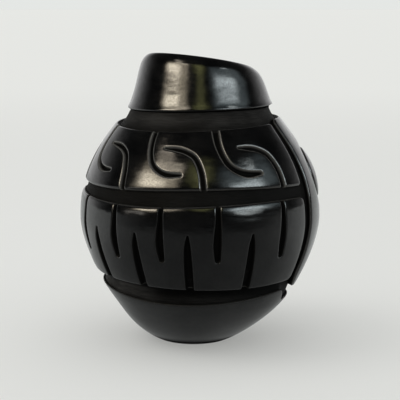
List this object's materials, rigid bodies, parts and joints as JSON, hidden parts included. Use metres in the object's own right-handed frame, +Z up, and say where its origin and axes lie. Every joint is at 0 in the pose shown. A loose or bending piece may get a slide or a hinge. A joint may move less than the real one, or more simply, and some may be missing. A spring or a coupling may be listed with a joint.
{
  "type": "carved clay pot",
  "caption": "Free-standing round pot of burnished black clay with a narrow foot, carved raised fields and a conical collar with a slanted rim",
  "frame": {"origin": "On the plane the foot stands on, under the middle of the pot's belly", "axes": "+Z up along the pot's axis. -Y is the carved front, +X the side with the full-height panel"},
  "size_m": [0.158, 0.1578, 0.1902],
  "materials": {
    "burnished_clay": "polished",
    "matte_clay": "matte"
  },
  "bodies": {
    "root": {"base_bowl": "burnished_clay", "lower_wall": "matte_clay", "belly_wall": "matte_clay", "shoulder_wall": "matte_clay", "neck_wall": "matte_clay", "neck_collar": "burnished_clay", "shoulder_band": "burnished_clay", "belly_band": "burnished_clay", "side_panel": "burnished_clay", "side_boss": "burnished_clay"}
  },
  "joints": []
}
